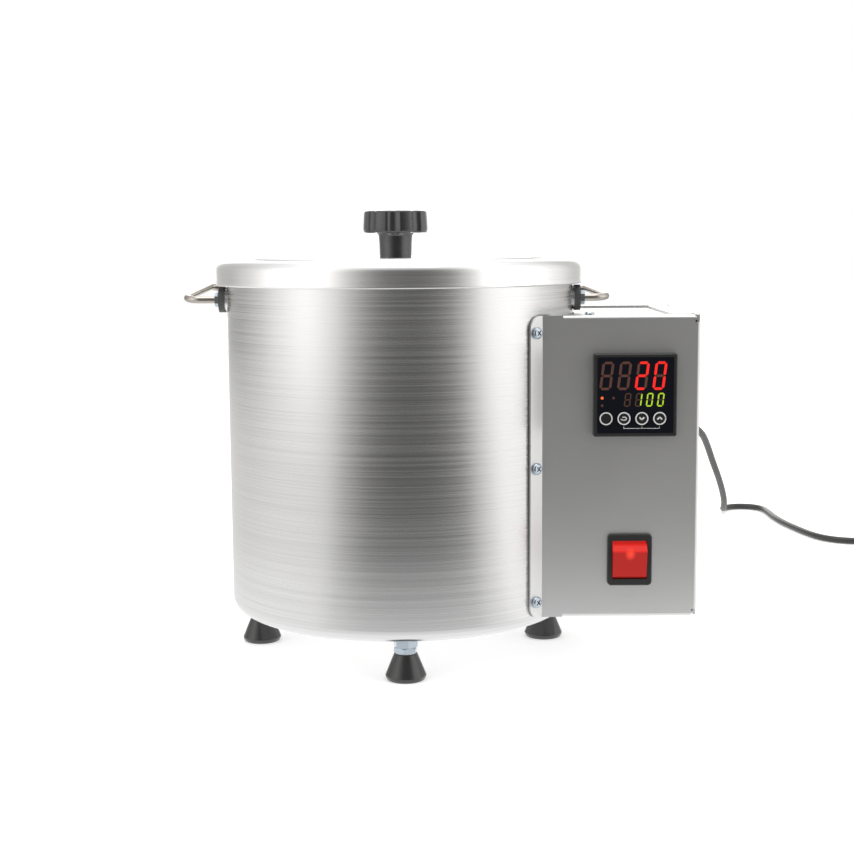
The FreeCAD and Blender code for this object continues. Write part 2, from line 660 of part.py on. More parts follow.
def mains_plug(x, y, z):
    """A straight moulded plug with two blades and a round earth pin, lying on the floor, pins towards -Y."""
    sleeve = turned([(cord_radius, 0), (4.2, 0), (6.0, 14), (cord_radius, 14)])
    sleeve = placed(sleeve, (x, y, z), (0, -1, 0))
    body = extruded([(x - 9, 0.2, 3), (x + 9, 0.2, 3), (x + 13, 10, 4), (x + 13, 20, 6), (x + 6, 27, 5),
                     (x - 6, 27, 5), (x - 13, 20, 6), (x - 13, 10, 4)], "y", y - 42, y - 14)
    flange = extruded([(x - 9, 0.2, 3), (x + 9, 0.2, 3), (x + 14, 10, 4), (x + 14, 20, 6), (x + 6, 28, 5),
                       (x - 6, 28, 5), (x - 14, 20, 6), (x - 14, 10, 4)], "y", y - 42, y - 38)
    blades = [box(x + dx - 0.8, x + dx + 0.8, y - 59, y - 36, z - 3.2, z + 3.2) for dx in (-6.35, 6.35)]
    pin = rod((x, y - 36, z + 11.9), (x, y - 62, z + 11.9), 2.38)
    sockets = Part.makeCompound(blades + [pin])
    add("plug_body", fused([sleeve, body, flange]).cut(sockets))
    add("plug_pins", *blades, pin)


def export():
    os.makedirs("parts", exist_ok=True)
    whole = []
    for name, shape in nodes.items():
        moved = shape.copy()
        moved.translate(V(pot_x, 0, 0))
        solids = moved.Solids
        (solids[0] if len(solids) == 1 else moved).exportStep("parts/%s.step" % name)
        whole.append((name, moved))
    loose = ("power_cord", "cord_coil", "plug_body", "plug_pins")
    body = Part.makeCompound([shape for name, shape in whole if name not in loose]).BoundBox
    print("nodes", len(nodes), "box", [round(v, 2) for v in (body.XMin, body.XMax, body.YMin, body.YMax,
                                                               body.ZMin, body.ZMax)])
    for name, shape in whole:
        if not shape.isValid():
            print("invalid", name)


outer_shell()
inner_pot()
insulation()
heater()
sensors()
grommet_and_leads()
feet()
handles()
lid()
lid_knob()
control_box_wrap()
box_covers()
controller()
rocker_switch()
box_inside()
cord_gland()
power_cord()
export()
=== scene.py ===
import json
import math

import bmesh
import bpy
from mathutils import Matrix, Vector


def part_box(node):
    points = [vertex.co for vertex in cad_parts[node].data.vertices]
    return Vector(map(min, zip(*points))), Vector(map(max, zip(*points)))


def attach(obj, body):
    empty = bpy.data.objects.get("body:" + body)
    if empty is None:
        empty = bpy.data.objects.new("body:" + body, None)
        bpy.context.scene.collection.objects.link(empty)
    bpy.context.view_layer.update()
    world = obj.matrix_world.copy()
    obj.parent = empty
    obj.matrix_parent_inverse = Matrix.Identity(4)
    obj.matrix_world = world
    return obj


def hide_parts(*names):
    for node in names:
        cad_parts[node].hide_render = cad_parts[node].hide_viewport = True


# Wax warmer pot: looks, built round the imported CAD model. Unless a comment says otherwise, positions are in
# millimetres from the pot's axis on the floor, as in the CAD source, and at() turns them into the row frame
# in metres.

MM = 0.001
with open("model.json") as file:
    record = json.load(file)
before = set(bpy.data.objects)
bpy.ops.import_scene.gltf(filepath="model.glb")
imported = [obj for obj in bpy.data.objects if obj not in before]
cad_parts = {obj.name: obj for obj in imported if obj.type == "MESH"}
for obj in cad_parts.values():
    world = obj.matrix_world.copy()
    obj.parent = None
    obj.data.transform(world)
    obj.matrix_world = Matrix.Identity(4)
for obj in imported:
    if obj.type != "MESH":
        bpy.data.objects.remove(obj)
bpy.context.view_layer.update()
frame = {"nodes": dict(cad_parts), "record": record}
nodes = frame["nodes"]
shell_low, shell_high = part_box("outer_shell")
AXIS = Vector(((shell_low.x + shell_high.x) / 2, (shell_low.y + shell_high.y) / 2, 0.0))


def at(x, y, z):
    """Millimetres from the pot's axis to the row frame in metres."""
    return AXIS + Vector((x, y, z)) * MM


# ---------------------------------------------------------------- camera

def add_camera():
    data = bpy.data.cameras.new("camera")
    data.sensor_width = 36.0
    data.lens = 62.48
    camera = bpy.data.objects.new("camera", data)
    bpy.context.scene.collection.objects.link(camera)
    yaw, pitch, roll = math.radians(-0.539), math.radians(-7.207), math.radians(-0.402)
    turn = Matrix.Rotation(-yaw, 4, "Z") @ Matrix.Rotation(math.pi / 2 + pitch, 4, "X")
    turn = turn @ Matrix.Rotation(roll, 4, "Z")
    camera.matrix_world = Matrix.Translation(at(24.9, -926.3, 253.1)) @ turn
    bpy.context.scene.camera = camera


# ---------------------------------------------------------------- mesh helpers

def rounded(corners, closed=True, steps=7):
    """Corners (a, b) or (a, b, radius) as points, with the rounded corners as arcs."""
    points = []
    count = len(corners)
    for i, corner in enumerate(corners):
        here = Vector(corner[:2])
        radius = corner[2] if len(corner) > 2 else 0
        if radius == 0 or (not closed and i in (0, count - 1)):
            points.append(here)
            continue
        back = (Vector(corners[i - 1][:2]) - here).normalized()
        ahead = (Vector(corners[(i + 1) % count][:2]) - here).normalized()
        half = back.angle(ahead) / 2
        centre = here + (back + ahead).normalized() * (radius / math.sin(half))
        start = here + back * (radius / math.tan(half)) - centre
        end = here + ahead * (radius / math.tan(half)) - centre
        sweep = start.angle_signed(end)
        for k in range(steps + 1):
            points.append(centre + Matrix.Rotation(-sweep * k / steps, 2) @ start)
    return points


def piece(name, vertices, faces, body, material, replaces=(), crease=32):
    """A mesh object in the row frame, smooth except at creases, riding on a body."""
    mesh = bpy.data.meshes.new(name)
    mesh.from_pydata([tuple(v) for v in vertices], [], faces)
    made = bmesh.new()
    made.from_mesh(mesh)
    bmesh.ops.remove_doubles(made, verts=made.verts, dist=1e-7)
    bmesh.ops.recalc_face_normals(made, faces=made.faces)
    made.to_mesh(mesh)
    made.free()
    mesh.shade_smooth()
    mesh.set_sharp_from_angle(angle=math.radians(crease))
    obj = bpy.data.objects.new(name, mesh)
    bpy.context.scene.collection.objects.link(obj)
    mesh.materials.append(material)
    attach(obj, body)
    if replaces:
        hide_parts(*replaces)
    return obj


def weighted(obj):
    """Large flat faces keep their own normals next to small rounded edges."""
    modifier = obj.modifiers.new("even_normals", "WEIGHTED_NORMAL")
    modifier.keep_sharp = True
    modifier.weight = 90
    return obj


def turned(name, corners, body, material, replaces=(), x=0.0, y=0.0, segments=192, steps=7):
    """A closed outline of (radius, height) corners, turned round a vertical axis."""
    outline = rounded(corners, steps=steps)
    vertices, faces = [], []
    for point in outline:
        for k in range(segments):
            angle = 2 * math.pi * k / segments
            vertices.append(at(x + point.x * math.cos(angle), y + point.x * math.sin(angle), point.y))
    count = len(outline)
    for i in range(count):
        j = (i + 1) % count
        low_on_axis, high_on_axis = outline[i].x < 1e-6, outline[j].x < 1e-6
        if low_on_axis and high_on_axis:
            continue
        for k in range(segments):
            n = (k + 1) % segments
            a, b, c, d = i * segments + k, i * segments + n, j * segments + n, j * segments + k
            if low_on_axis:
                faces.append((a, c, d))
            elif high_on_axis:
                faces.append((a, b, d))
            else:
                faces.append((a, b, c, d))
    return weighted(piece(name, vertices, faces, body, material, replaces))


def flat_shape(name, outlines, y, depth, body, material, replaces=()):
    """Thin plates facing the front: each outline is (x, z) points in millimetres, y its front face."""
    vertices, faces = [], []
    for outline in outlines:
        start, count = len(vertices), len(outline)
        vertices += [at(p[0], y, p[1]) for p in outline] + [at(p[0], y + depth, p[1]) for p in outline]
        faces.append(tuple(start + k for k in range(count)))
        faces.append(tuple(start + count + k for k in reversed(range(count))))
        for k in range(count):
            n = (k + 1) % count
            faces.append((start + k, start + count + k, start + count + n, start + n))
    return piece(name, vertices, faces, body, material, replaces)


def round_path(points, radii, steps=12):
    """Points of a path with its inner corners rounded to the given radii, in millimetres."""
    points = [Vector(p) for p in points]
    path = [points[0]]
    for before, here, after, radius in zip(points, points[1:], points[2:], radii):
        back, ahead = (before - here).normalized(), (after - here).normalized()
        half = back.angle(ahead) / 2
        reach = radius / math.tan(half)
        centre = here + (back + ahead).normalized() * (radius / math.sin(half))
        start, end = here + back * reach - centre, here + ahead * reach - centre
        for k in range(steps + 1):
            path.append(centre + start.normalized().slerp(end.normalized(), k / steps) * radius)
    path.append(points[-1])
    return path


def tube(name, path, radius, body, material, replaces=(), sides=24):
    """A round rod swept along a path of points in millimetres, with closed ends."""
    vertices, faces = [], []
    path = [Vector(p) for p in path]
    side = Vector((0, 0, 1))
    for i, point in enumerate(path):
        along = (path[min(i + 1, len(path) - 1)] - path[max(i - 1, 0)]).normalized()
        side = (side - along * side.dot(along)).normalized()
        across = along.cross(side)
        for k in range(sides):
            angle = 2 * math.pi * k / sides
            vertices.append(at(*(point + (side * math.cos(angle) + across * math.sin(angle)) * radius)))
    for i in range(len(path) - 1):
        for k in range(sides):
            n = (k + 1) % sides
            faces.append((i * sides + k, i * sides + n, (i + 1) * sides + n, (i + 1) * sides + k))
    faces.append(tuple(reversed(range(sides))))
    faces.append(tuple((len(path) - 1) * sides + k for k in range(sides)))
    return piece(name, vertices, faces, body, material, replaces, crease=50)


# ---------------------------------------------------------------- material helpers

class Surface:
    """A node material round one Principled shader. Object coordinates are the row frame in metres."""

    def __init__(self, name, color, roughness, metallic=0.0, **sockets):
        self.material = bpy.data.materials.new(name)
        self.material.use_nodes = True
        self.tree = self.material.node_tree
        self.shader = self.tree.nodes["Principled BSDF"]
        self.shader.inputs["Base Color"].default_value = (*color, 1)
        self.shader.inputs["Roughness"].default_value = roughness
        self.shader.inputs["Metallic"].default_value = metallic
        for socket, value in sockets.items():
            self.shader.inputs[socket.replace("_", " ")].default_value = value
        self.material.diffuse_color = (*color, 1)
        self.coordinates = self.node("ShaderNodeTexCoord").outputs["Object"]

    def node(self, kind, **settings):
        made = self.tree.nodes.new(kind)
        for key, value in settings.items():
            setattr(made, key, value)
        return made

    def link(self, source, target):
        self.tree.links.new(source, target)

    def math(self, operation, first, second=None, clamp=False):
        made = self.node("ShaderNodeMath", operation=operation, use_clamp=clamp)
        for socket, value in zip(made.inputs, (first, second)):
            if value is None:
                continue
            if isinstance(value, (int, float)):
                socket.default_value = value
            else:
                self.link(value, socket)
        return made.outputs[0]

    def placed(self, scale, offset=(0, 0, 0)):
        """The coordinates, moved by offset and then scaled."""
        mapping = self.node("ShaderNodeMapping", vector_type="POINT")
        mapping.inputs["Location"].default_value = [-o * s for o, s in zip(offset, scale)]
        mapping.inputs["Scale"].default_value = scale
        self.link(self.coordinates, mapping.inputs["Vector"])
        return mapping.outputs[0]

    def noise(self, scale, detail=3.0, roughness=0.5, offset=(0, 0, 0), w=None):
        made = self.node("ShaderNodeTexNoise", noise_dimensions="4D" if w is not None else "3D")
        made.inputs["Scale"].default_value = 1.0
        made.inputs["Detail"].default_value = detail
        made.inputs["Roughness"].default_value = roughness
        self.link(self.placed(scale, offset), made.inputs["Vector"])
        if w is not None:
            self.link(w, made.inputs["W"])
        return made.outputs["Fac"]

    def radius(self):
        """Distance from the pot's axis."""
        vector = self.node("ShaderNodeVectorMath", operation="LENGTH")
        self.link(self.placed((1, 1, 0), AXIS), vector.inputs[0])
        return vector.outputs["Value"]

    def spread(self, source, low, high, start=0.25, end=0.75):
        """Maps a noise value to a range."""
        made = self.node("ShaderNodeMapRange")
        made.inputs["From Min"].default_value = start
        made.inputs["From Max"].default_value = end
        made.inputs["To Min"].default_value = low
        made.inputs["To Max"].default_value = high
        self.link(source, made.inputs["Value"])
        return made.outputs[0]

    def tint(self, source, low, high, start=0.25, end=0.75):
        """Colours from low to high along a noise value, into the base colour."""
        ramp = self.node("ShaderNodeValToRGB")
        ramp.color_ramp.elements[0].position = start
        ramp.color_ramp.elements[1].position = end
        ramp.color_ramp.elements[0].color = (*low, 1)
        ramp.color_ramp.elements[1].color = (*high, 1)
        self.link(source, ramp.inputs["Fac"])
        self.link(ramp.outputs["Color"], self.shader.inputs["Base Color"])
        return ramp.outputs["Color"]

    def bump(self, source, strength, distance):
        made = self.node("ShaderNodeBump")
        made.inputs["Strength"].default_value = strength
        made.inputs["Distance"].default_value = distance
        self.link(source, made.inputs["Height"])
        self.link(made.outputs["Normal"], self.shader.inputs["Normal"])

    def rough(self, source):
        self.link(source, self.shader.inputs["Roughness"])


def blend_color(tree, factor, first, second):
    made = tree.nodes.new("ShaderNodeMix")
    made.data_type = "RGBA"
    tree.links.new(factor, made.inputs["Factor"])
    for socket, value in ((made.inputs[6], first), (made.inputs[7], second)):
        if isinstance(value, tuple):
            socket.default_value = value
        else:
            tree.links.new(value, socket)
    return made.outputs[2]


def grey(value, warm=0.0):
    return (value + warm, value, value - warm)


def turned_metal(name, base, coarse, fine_rough, anisotropy):
    """Aluminium with the fine rings a lathe or a brush leaves round the pot's axis."""
    s = Surface(name, grey(base), 0.3, metallic=1.0, Anisotropic=anisotropy)
    fine = s.noise((3, 3, 1900), detail=3, roughness=0.7, w=s.math("MULTIPLY", s.radius(), 1900.0))
    broad = s.noise((2, 2, 560), detail=2, roughness=0.6, w=s.math("MULTIPLY", s.radius(), 560.0))
    both = s.math("ADD", s.math("MULTIPLY", fine, 0.74), s.math("MULTIPLY", broad, 0.26))
    s.rough(s.spread(both, fine_rough[0], fine_rough[1], 0.40, 0.60))
    s.tint(both, grey(base - coarse), grey(base + coarse), 0.40, 0.60)
    s.bump(fine, 0.14, 0.00004)
    tangent = s.node("ShaderNodeTangent", direction_type="RADIAL", axis="Z")
    s.link(tangent.outputs[0], s.shader.inputs["Tangent"])
    return s.material


def sheet_metal():
    """Satin sheet of the control box: a very fine even grain with a faint lengthwise brushing."""
    s = Surface("box_satin_sheet", grey(0.66), 0.40, metallic=1.0)
    grain = s.noise((2600, 2600, 2600), detail=2)
    brushing = s.noise((40, 40, 1800), detail=3, roughness=0.6)
    cloud = s.noise((14, 14, 14), detail=2)
    both = s.math("ADD", s.math("MULTIPLY", grain, 0.5), s.math("MULTIPLY", brushing, 0.5))
    s.rough(s.spread(both, 0.38, 0.46))
    shade = s.math("ADD", s.math("MULTIPLY", both, 0.5), s.math("MULTIPLY", cloud, 0.5))
    s.tint(shade, grey(0.66), grey(0.75))
    s.bump(both, 0.06, 0.00003)
    return s.material


def plain_metal(name, color, roughness, spread, scale=900):
    s = Surface(name, color, roughness, metallic=1.0)
    mottle = s.noise((scale, scale, scale), detail=3)
    s.rough(s.spread(mottle, roughness - spread, roughness + spread))
    s.tint(mottle, [c * 0.88 for c in color], color)
    s.bump(mottle, 0.08, 0.00003)
    return s.material


def moulded(name, color, roughness, grain=1400, strength=0.15, coat=0.0, worn=1.25):
    """Moulded plastic or rubber: fine texture, with slightly paler and duller patches."""
    s = Surface(name, color, roughness, Coat_Weight=coat)
    texture = s.noise((grain, grain, grain), detail=2)
    patches = s.noise((60, 60, 60), detail=3)
    s.rough(s.spread(patches, roughness * 0.88, min(1.0, roughness * 1.12)))
    s.tint(patches, color, [min(1.0, c * worn) for c in color])
    s.bump(texture, strength, 0.00006)
    return s.material


def light(name, color, strength, gloss=0.25):
    s = Surface(name, [c * 0.5 for c in color], gloss, Emission_Strength=strength)
    s.shader.inputs["Emission Color"].default_value = (*color, 1)
    return s.material


def lit_rocker():
    """Red translucent rocker with its own lamp, which shows just under the fold. The upper face's brighter
    glow is painted light, standing in for the light falling on it from above.
    """
    s = Surface("rocker_red", (0.34, 0.008, 0.006), 0.46, Emission_Strength=1.0, Specular_IOR_Level=0.25)
    low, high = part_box("switch_rocker")
    spot = Vector(((low.x + high.x) / 2, low.y, low.z + (high.z - low.z) * 0.70))
    distance = s.node("ShaderNodeVectorMath", operation="LENGTH")
    s.link(s.placed((1.0, 0.2, 0.8), spot), distance.inputs[0])
    lamp = s.spread(distance.outputs["Value"], 1.0, 0.0, 0.0006, 0.0034)
    height = s.node("ShaderNodeSeparateXYZ")
    s.link(s.placed((1, 1, 1), low), height.inputs[0])
    # painted light: the upper face gets a brighter glow colour than the lower face, standing in for light
    # falling on it from above
    upper = s.spread(height.outputs["Z"], 0.0, 1.0, (high.z - low.z) * 0.735, (high.z - low.z) * 0.765)
    body = blend_color(s.tree, upper, (0.20, 0.010, 0.008, 1), (0.52, 0.018, 0.014, 1))
    glow = blend_color(s.tree, lamp, body, (0.80, 0.060, 0.030, 1))
    s.link(glow, s.shader.inputs["Emission Color"])
    s.bump(s.noise((700, 700, 700)), 0.05, 0.00004)
    return s.material


def fibre():
    s = Surface("glass_wool", (0.80, 0.74, 0.50), 0.9, Sheen_Weight=0.3)
    strands = s.noise((500, 500, 60), detail=5, roughness=0.7)
    s.tint(strands, (0.62, 0.55, 0.34), (0.86, 0.82, 0.62))
    s.bump(strands, 0.6, 0.0004)
    return s.material


def make_materials():
    return {
        "turned_aluminium": turned_metal("turned_aluminium", 0.70, 0.06, (0.17, 0.29), 0.7),
        "lid_aluminium": turned_metal("lid_aluminium", 0.93, 0.02, (0.17, 0.25), 0.6),
        "drawn_aluminium": turned_metal("drawn_aluminium", 0.80, 0.03, (0.22, 0.34), 0.4),
        "box_sheet": sheet_metal(),
        "stainless_steel": plain_metal("stainless_steel", (0.50, 0.46, 0.42), 0.18, 0.04),
        "zinc_steel": plain_metal("zinc_steel", (0.50, 0.57, 0.63), 0.20, 0.06),
        "brass_plated": plain_metal("brass_plated", (0.78, 0.62, 0.30), 0.25, 0.06),
        "mica_band": plain_metal("mica_band", (0.52, 0.50, 0.44), 0.45, 0.1, 300),
        "black_rubber": moulded("black_rubber", grey(0.018), 0.22, coat=0.5),
        "pad_rubber": moulded("pad_rubber", grey(0.095), 0.5),
        "cord_rubber": moulded("cord_rubber", grey(0.034), 0.36, grain=1800, strength=0.1),
        "gloss_black": moulded("gloss_black", (0.026, 0.025, 0.027), 0.20, 260, 0.04, coat=0.7),
        "matt_black": moulded("matt_black", grey(0.016), 0.48, grain=3200, strength=0.2),
        "key_black": moulded("key_black", grey(0.014), 0.38, grain=2500, strength=0.1),
        "smoked_window": moulded("smoked_window", (0.003, 0.004, 0.009), 0.12, grain=120, strength=0.02),
        "print_white": moulded("print_white", grey(0.85), 0.5),
        "white_plastic": moulded("white_plastic", grey(0.78), 0.45),
        "ceramic": moulded("ceramic", (0.80, 0.76, 0.68), 0.55),
        "lead_insulation": moulded("lead_insulation", (0.78, 0.74, 0.66), 0.5),
        "circuit_board": moulded("circuit_board", (0.03, 0.20, 0.08), 0.35),
        "glass_wool": fibre(),
        "red_rocker": lit_rocker(),
        "digit_red": light("digit_red", (0.85, 0.022, 0.016), 0.95),
        "digit_green": light("digit_green", (0.42, 0.62, 0.03), 0.85),
        # painted light: the switched-off segments and lamps get a faint glow, standing in for the room light
        # they give back behind the dark window
        "digit_dim_red": light("digit_dim_red", (0.110, 0.048, 0.034), 0.55),
        "digit_dim_green": light("digit_dim_green", (0.090, 0.042, 0.024), 0.5),
        "dot_orange": light("dot_orange", (0.9, 0.13, 0.03), 1.0),
    }


materials = make_materials()


def finish_cad_nodes():
    """Every carried-over CAD node takes its slot's material; the handle pads have a grey of their own."""
    slots = {row["node"]: row["material_slot"] for row in frame["record"]["subparts"]}
    for name, obj in nodes.items():
        look = "pad_rubber" if name == "handle_pads" else slots[name]
        obj.data.materials.clear()
        obj.data.materials.append(materials[look])


# ---------------------------------------------------------------- cord

# the cord's route from the gland to the coil, from the pot's axis on the floor, in metres
ROUTE = [
    (0.15, 0.112, 0.123), (0.151, 0.135, 0.123), (0.158, 0.158, 0.122), (0.171, 0.18, 0.1205),
    (0.188, 0.202, 0.1175), (0.2055, 0.225, 0.113), (0.223, 0.247, 0.1065), (0.2375, 0.271, 0.0955),
    (0.2468, 0.297, 0.081), (0.256, 0.323, 0.064), (0.266, 0.35, 0.047), (0.2745, 0.376, 0.031),
    (0.281, 0.398, 0.017), (0.2846, 0.42, 0.006), (0.2866, 0.4356, 0.003), (0.2979, 0.4452, 0.003),
    (0.3126, 0.4448, 0.003), (0.3232, 0.4346, 0.003), (0.3243, 0.414, 0.003), (0.3242, 0.391, 0.003),
    (0.3262, 0.367, 0.003), (0.3305, 0.343, 0.003), (0.3355, 0.319, 0.003), (0.343, 0.297, 0.003),
    (0.3575, 0.284, 0.003), (0.378, 0.2815, 0.003),
]
CORD_RADIUS, FLOOR_GAP = 2.75, 0.25
COIL_CENTRE = (397.0, 247.0)
COIL_TURNS = (34.0, 28.5, 23.0, 23.0, 28.5, 34.0)
TURN_POINTS = 16


def coil_points():
    """Six turns wound clockwise from the far side: three side by side on the floor, three on top."""
    points = []
    swell = 1 / math.cos(math.pi / TURN_POINTS) ** 2
    total = len(COIL_TURNS) * TURN_POINTS + TURN_POINTS // 4
    for k in range(1, total + 1):
        turn, share = divmod(k / TURN_POINTS, 1)
        here = COIL_TURNS[min(int(turn), len(COIL_TURNS) - 1)]
        before = COIL_TURNS[max(int(turn) - 1, 0)] if turn < len(COIL_TURNS) else here
        blend = min(1.0, share / 0.25)
        radius = (before + (here - before) * blend) * swell
        layer_before = 0 if turn <= 3 else 1
        layer_here = 0 if turn < 3 else 1
        level = layer_before + (layer_here - layer_before) * blend
        if turn == 3:
            level = blend
        angle = math.pi / 2 - 2 * math.pi * k / TURN_POINTS
        height = CORD_RADIUS + FLOOR_GAP + level * 2 * CORD_RADIUS
        x, y = radius * math.cos(angle), radius * math.sin(angle)
        points.append((COIL_CENTRE[0] + x, COIL_CENTRE[1] + y, height))
    return points


def add_cord():
    data = bpy.data.curves.new("mains_cord", "CURVE")
    data.dimensions = "3D"
    data.bevel_depth = CORD_RADIUS * MM
    data.bevel_resolution = 6
    data.use_fill_caps = True
    data.resolution_u = 8
    spline = data.splines.new("NURBS")
    route = [AXIS + Vector(p) for p in ROUTE]
    route.append(at(COIL_CENTRE[0], COIL_CENTRE[1] + COIL_TURNS[0], CORD_RADIUS + FLOOR_GAP))
    route += [at(*p) for p in coil_points()]
    top = FLOOR_GAP + 3 * CORD_RADIUS
    side = COIL_CENTRE[0] + COIL_TURNS[-1]
    route += [at(side, COIL_CENTRE[1] - y, top) for y in (10, 20, 30)]
    spline.points.add(len(route) - 1)
    for point, place in zip(spline.points, route):
        point.co = (*place, 1)
    spline.order_u = 3
    spline.use_endpoint_u = True
    cord = bpy.data.objects.new("mains_cord", data)
    bpy.context.scene.collection.objects.link(cord)
    data.materials.append(materials["cord_rubber"])
    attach(cord, "pot")
    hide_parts("power_cord", "cord_coil")


# ---------------------------------------------------------------- stage

# brightness of the studio round the object, by angle from the front, in degrees, seen in its reflections:
# the walls above the horizon, and the floor below it
WALLS = [(-180, 2.60), (-166, 2.10), (-153, 0.56), (-125, 0.46), (-102, 0.70), (-84, 1.15), (-60, 1.62),
         (-42, 1.20), (-28, 0.60), (-18, 0.30), (-6, 0.140), (14, 0.120), (32, 0.21), (45, 0.66),
         (58, 1.50), (84, 1.58), (112, 0.92), (140, 0.56), (156, 0.60), (168, 2.10), (180, 2.60)]
GROUND = [(-180, 1.0), (-120, 0.84), (-72, 0.95), (-46, 0.93), (-32, 0.45), (-18, 0.175), (-2, 0.130),
          (18, 0.135), (38, 0.23), (52, 0.80), (66, 1.35), (100, 1.15), (180, 1.0)]
GROUND_NEAR = 1.16


def studio_ramp(tree, vector, levels):
    """The studio's brightness in the horizontal direction of a vector, and the vector's height."""
    split = tree.nodes.new("ShaderNodeSeparateXYZ")
    tree.links.new(vector, split.inputs[0])
    minus = tree.nodes.new("ShaderNodeMath")
    minus.operation = "MULTIPLY"
    minus.inputs[1].default_value = -1.0
    tree.links.new(split.outputs["Y"], minus.inputs[0])
    angle = tree.nodes.new("ShaderNodeMath")
    angle.operation = "ARCTAN2"
    tree.links.new(split.outputs["X"], angle.inputs[0])
    tree.links.new(minus.outputs[0], angle.inputs[1])
    share = tree.nodes.new("ShaderNodeMapRange")
    share.inputs["From Min"].default_value = -math.pi
    share.inputs["From Max"].default_value = math.pi
    tree.links.new(angle.outputs[0], share.inputs["Value"])
    ramp = tree.nodes.new("ShaderNodeValToRGB")
    ramp.color_ramp.interpolation = "EASE"
    elements = ramp.color_ramp.elements
    while len(elements) < len(levels):
        elements.new(0.5)
    for element, (degrees, value) in zip(elements, levels):
        element.position = (degrees + 180) / 360
        element.color = (value, value * 0.99, value * 0.97, 1)
    tree.links.new(share.outputs[0], ramp.inputs["Fac"])
    return ramp.outputs["Color"], split.outputs["Z"]


def add_world():
    world = bpy.data.worlds.new("studio")
    bpy.context.scene.world = world
    world.use_nodes = True
    tree = world.node_tree
    background = tree.nodes["Background"]
    direction = tree.nodes.new("ShaderNodeTexCoord").outputs["Generated"]
    around, height = studio_ramp(tree, direction, WALLS)
    rise = tree.nodes.new("ShaderNodeMapRange")
    rise.interpolation_type = "SMOOTHSTEP"
    rise.inputs["From Min"].default_value = 0.34
    rise.inputs["From Max"].default_value = 0.95
    tree.links.new(height, rise.inputs["Value"])
    lit = blend_color(tree, rise.outputs[0], around, (1.0, 1.0, 1.0, 1))
    camera_ray = tree.nodes.new("ShaderNodeLightPath").outputs["Is Camera Ray"]
    seen = blend_color(tree, camera_ray, lit, (1.0, 1.0, 1.0, 1))
    tree.links.new(seen, background.inputs["Color"])
    background.inputs["Strength"].default_value = 1.0


def add_floor():
    """A plain pale floor. In reflections it shows the room round the object instead."""
    mesh = bpy.data.meshes.new("floor")
    corners = [(-4, -4, 0), (4, -4, 0), (4, 4, 0), (-4, 4, 0)]
    mesh.from_pydata(corners, [], [(0, 1, 2, 3)])
    floor = bpy.data.objects.new("floor", mesh)
    bpy.context.scene.collection.objects.link(floor)
    s = Surface("pale_floor", grey(0.92), 0.7)
    s.shader.inputs["Specular IOR Level"].default_value = 0.0
    s.shader.inputs["Emission Color"].default_value = (1, 1, 1, 1)
    s.shader.inputs["Emission Strength"].default_value = 0.45
    mesh.materials.append(s.material)
    place = s.placed((1, 1, 1), AXIS)
    ground = studio_ramp(s.tree, place, GROUND)[0]
    walls = studio_ramp(s.tree, place, WALLS)[0]
    length = s.node("ShaderNodeVectorMath", operation="LENGTH")
    s.link(place, length.inputs[0])
    near = s.spread(length.outputs["Value"], 1.0, 0.0, 0.10, 0.80)
    near = s.math("POWER", near, 3.0)
    far = s.spread(length.outputs["Value"], 0.0, 1.0, 0.8, 3.0)
    around = blend_color(s.tree, far, ground, walls)
    reflected = blend_color(s.tree, near, around, (GROUND_NEAR, GROUND_NEAR, GROUND_NEAR, 1))
    glow = s.node("ShaderNodeEmission")
    s.link(reflected, glow.inputs["Color"])
    mix = s.node("ShaderNodeMixShader")
    s.link(s.node("ShaderNodeLightPath").outputs["Is Camera Ray"], mix.inputs["Fac"])
    s.link(glow.outputs[0], mix.inputs[1])
    s.link(s.shader.outputs[0], mix.inputs[2])
    s.link(mix.outputs[0], s.tree.nodes["Material Output"].inputs["Surface"])


def add_light(name, place, target, size, power):
    data = bpy.data.lights.new(name, "AREA")
    data.shape = "RECTANGLE"
    data.size, data.size_y = size
    data.energy = power
    lamp = bpy.data.objects.new(name, data)
    bpy.context.scene.collection.objects.link(lamp)
    lamp.location = at(*place)
    aim = at(*target) - lamp.location
    lamp.rotation_euler = aim.to_track_quat("-Z", "Y").to_euler()


def add_stage():
    add_world()
    add_floor()
    add_light("overhead", (0, -100, 1600), (30, 0, 100), (1.4, 1.2), 9)
    scene = bpy.context.scene
    scene.view_settings.view_transform = "Standard"
    scene.view_settings.look = "None"


# ---------------------------------------------------------------- pot and lid

# sizes and heights above the floor, in millimetres
SHELL_RADIUS, SHELL_LOW, SHELL_HIGH, SHELL_WALL, SHELL_CORNER = 107.0, 24.7, 238.75, 1.0, 8.0
WELL_RADIUS, WELL_LOW, WELL_WALL, WELL_CORNER, RIM_RADIUS, RIM_DEPTH = 96.0, 60.0, 1.2, 12.0, 108.5, 5.0
LID_X, LID_RADIUS, LID_EDGE, LID_TOP, LID_WALL = -0.6, 113.1, 226.2, 241.2, 1.2
DISC_RADIUS, DISC_TOP = 91.0, 242.5
KNOB_X, KNOB_RADIUS, KNOB_LOW, KNOB_HIGH, KNOB_CROWN = -2.5, 20.15, 257.2, 270.8, 271.8
LOBES, LOBE_TURN, FLUTE_RADIUS, FLUTE_OUT = 8, -92.0, 5.1, 2.9
FOOT_CIRCLE, FOOT_TURN = 90.0, 2.4
PAD_RADIUS, PAD_THICKNESS = 7.8, 3.8
HANDLE_ROD, HANDLE_BENDS = 2.25, (9.0, 12.0, 5.0)


def add_shell():
    r, w, low, high = SHELL_RADIUS, SHELL_WALL, SHELL_LOW, SHELL_HIGH
    outline = [(0, low), (r, low, SHELL_CORNER), (r, high), (r - w, high),
               (r - w, low + w, SHELL_CORNER - w), (0, low + w)]
    turned("jacket", outline, "pot", materials["turned_aluminium"], ["outer_shell"],
           segments=256)


